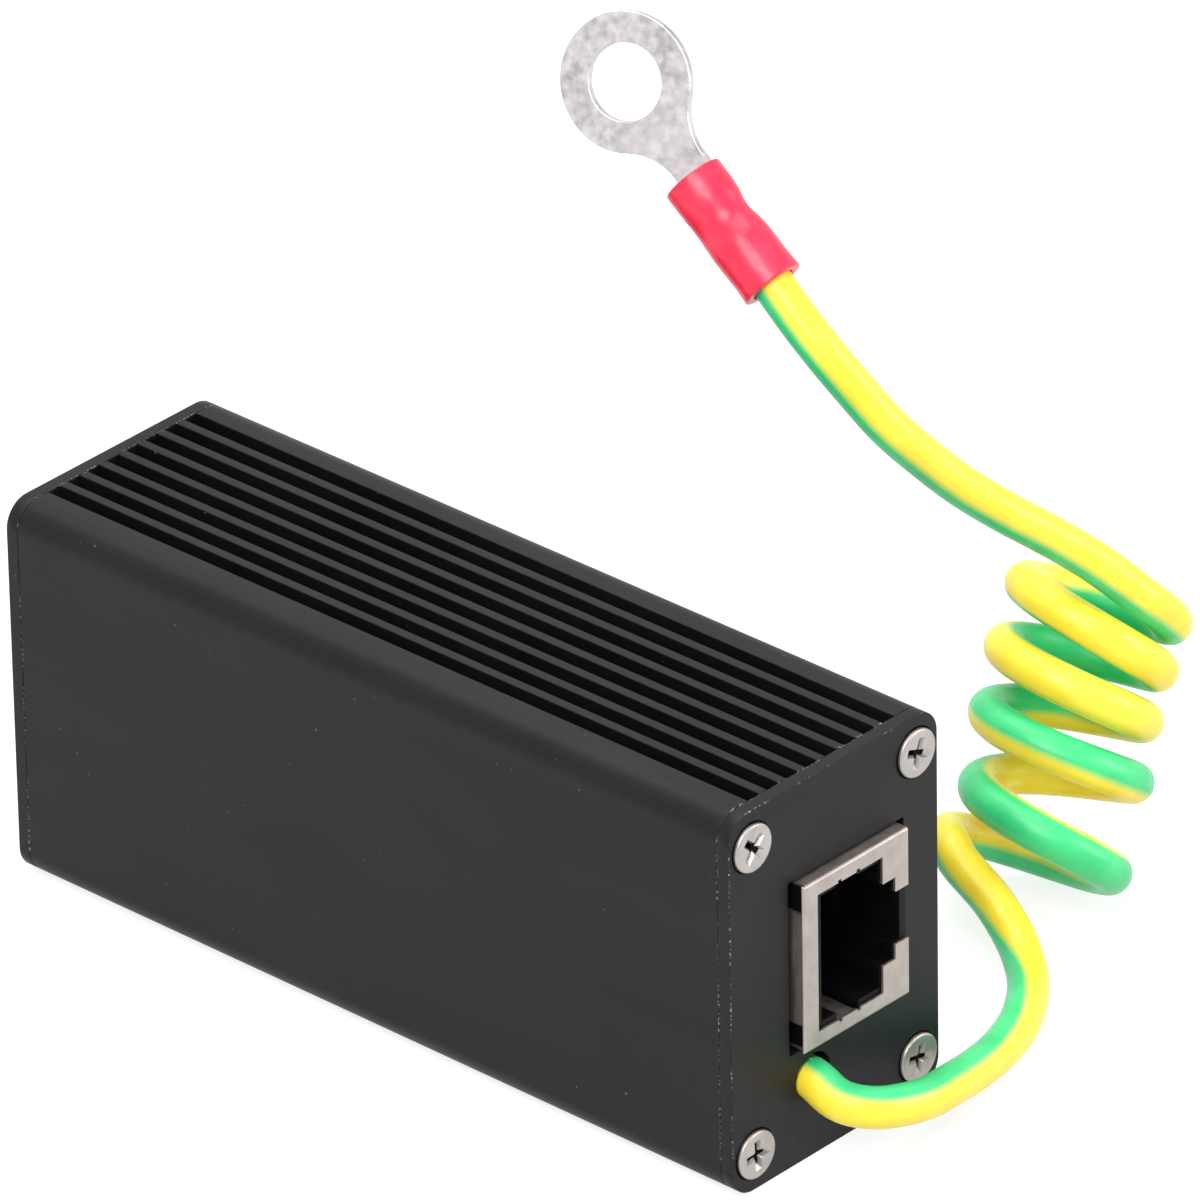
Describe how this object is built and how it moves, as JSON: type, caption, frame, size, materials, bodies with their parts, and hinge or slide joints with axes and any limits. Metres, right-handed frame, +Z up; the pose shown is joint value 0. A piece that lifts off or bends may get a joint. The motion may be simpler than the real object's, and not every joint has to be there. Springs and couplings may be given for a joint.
{
  "type": "ethernet surge protector",
  "caption": "Surge protector for network cable: a black grooved aluminium body with a shielded socket in each end plate, and a green and yellow earth wire, coiled, with a ring terminal.",
  "frame": {"origin": "centre of the housing's bottom face, halfway between the two end plates; the part stands on z = 0", "axes": "+Y along the housing from the end with the earth wire towards the other end, +Z up, through the grooved top, +X to the right as seen from the earth wire's end"},
  "size_m": [0.0693, 0.091, 0.0785],
  "materials": {
    "black_aluminium": "matt black anodised extrusion and plates",
    "screw_steel": "nickel plated, satin",
    "socket_sheet": "nickel plated sheet, bright satin",
    "socket_plastic": "moulded black plastic",
    "contact_gold": "gold plated spring wire",
    "board_laminate": "green solder mask on glass laminate",
    "tube_ceramic": "glazed white ceramic",
    "cap_nickel": "nickel plated end caps",
    "array_plastic": "black moulding with tinned legs",
    "wire_insulation": "yellow with green stripes, soft sheen",
    "conductor_copper": "stranded copper",
    "solder_tin": "bright solder",
    "terminal_tin": "tinned copper, soft shine",
    "sleeve_vinyl": "red vinyl, soft shine"
  },
  "bodies": {
    "root": {"housing": "black_aluminium", "front_plate": "black_aluminium", "rear_plate": "black_aluminium", "front_screws": "screw_steel", "rear_screws": "screw_steel", "front_jack_shield": "socket_sheet", "front_jack_insert": "socket_plastic", "front_jack_contacts": "contact_gold", "rear_jack_shield": "socket_sheet", "rear_jack_insert": "socket_plastic", "rear_jack_contacts": "contact_gold", "circuit_board": "board_laminate", "gas_tube_1": "tube_ceramic", "gas_tube_2": "tube_ceramic", "gas_tube_3": "tube_ceramic", "gas_tube_4": "tube_ceramic", "gas_tube_caps_1": "cap_nickel", "gas_tube_caps_2": "cap_nickel", "gas_tube_caps_3": "cap_nickel", "gas_tube_caps_4": "cap_nickel", "diode_array_1": "array_plastic", "diode_array_2": "array_plastic", "earth_wire_inner": "wire_insulation", "earth_conductor": "conductor_copper", "earth_solder": "solder_tin", "earth_wire_lead": "wire_insulation", "earth_wire_coil": "wire_insulation", "earth_wire_tail": "wire_insulation", "ring_terminal": "terminal_tin", "terminal_sleeve": "sleeve_vinyl", "terminal_strands": "conductor_copper"}
  },
  "joints": []
}
